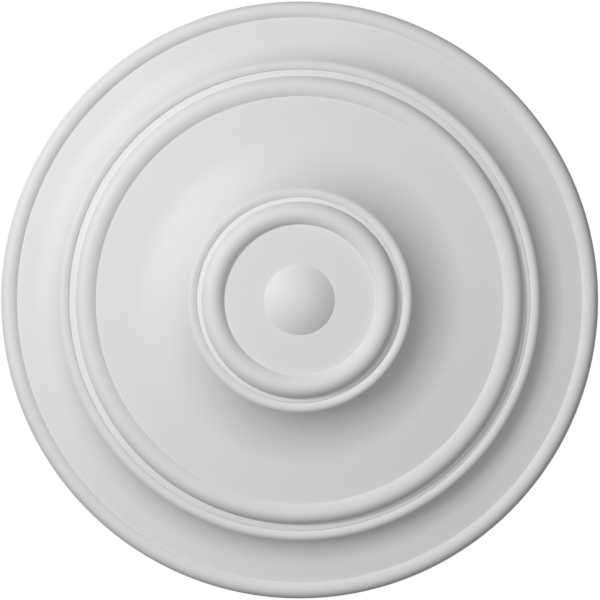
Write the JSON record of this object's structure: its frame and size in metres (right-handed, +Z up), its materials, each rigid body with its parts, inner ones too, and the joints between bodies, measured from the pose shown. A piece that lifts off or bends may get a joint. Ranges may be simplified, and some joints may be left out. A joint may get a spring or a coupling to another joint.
{
  "type": "ceiling rose",
  "caption": "Round white ceiling rose with a domed boss, a flat canopy seat, beads on fillets and lips, and wide coves between them.",
  "frame": {"origin": "centre of the flat back face, where it lies against the ceiling", "axes": "+Z up, out of the back into the ceiling; the moulded face looks down along -Z; the round is the same about +Z"},
  "size_m": [0.86, 0.86, 0.0995],
  "materials": {
    "primed_casting": "factory-primed white, satin to matt, on a smooth rigid foam casting"
  },
  "bodies": {
    "root": {"ceiling_rose": "primed_casting"}
  },
  "joints": []
}
